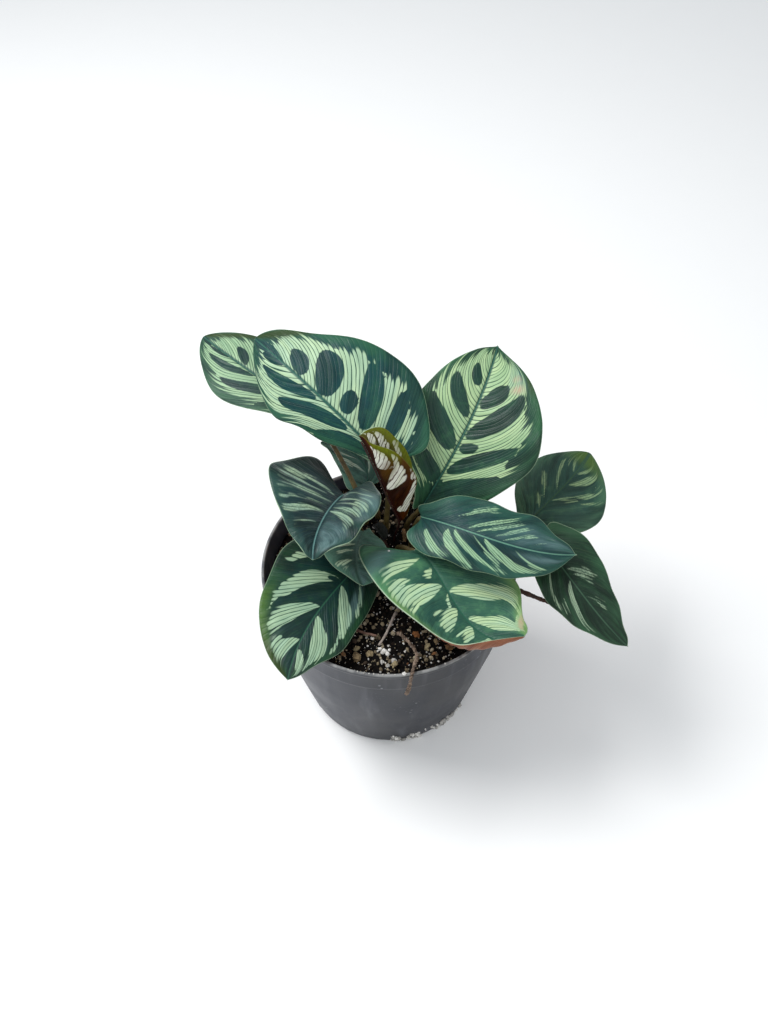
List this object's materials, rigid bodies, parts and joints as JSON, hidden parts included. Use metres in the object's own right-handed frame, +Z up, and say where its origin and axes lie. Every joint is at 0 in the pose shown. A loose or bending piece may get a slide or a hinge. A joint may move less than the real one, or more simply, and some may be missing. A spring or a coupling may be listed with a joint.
{
  "type": "potted peacock plant",
  "caption": "Peacock plant in a round tapered nursery pot: broad oval patterned leaves on thin stalks that rise from the soil.",
  "frame": {"origin": "centre of the underside of the pot's floor, on the surface that the pot stands on", "axes": "+Z up, +X to the right and -Y towards the plant's front, the side that the picture shows"},
  "size_m": [0.1995, 0.1725, 0.1749],
  "materials": {
    "pot_plastic": "satin dark grey thin plastic",
    "soil": "matt black potting mix with white and tan crumbs",
    "leaf": "satin dark green with a pale yellow-green feathered pattern, purple-red beneath",
    "young_leaf": "satin olive and burgundy with pale stripes",
    "withered_leaf": "dull, dark and dry",
    "dead_stalk": "matt dry brown",
    "straw": "matt pale grey-brown"
  },
  "bodies": {
    "root": {"pot": "pot_plastic", "soil": "soil", "leaf_far_left": "leaf", "leaf_top_left": "leaf", "leaf_top_right": "leaf", "leaf_back_right": "leaf", "leaf_low_right": "leaf", "leaf_front": "leaf", "leaf_front_right": "leaf", "leaf_small": "leaf", "leaf_low_left": "leaf", "leaf_under_left": "leaf", "leaf_mid_left": "leaf", "leaf_young": "young_leaf", "leaf_withered": "withered_leaf", "old_stalk": "dead_stalk", "dry_root": "dead_stalk", "pale_straw": "straw", "twig": "dead_stalk", "cut_stub": "dead_stalk"}
  },
  "joints": []
}
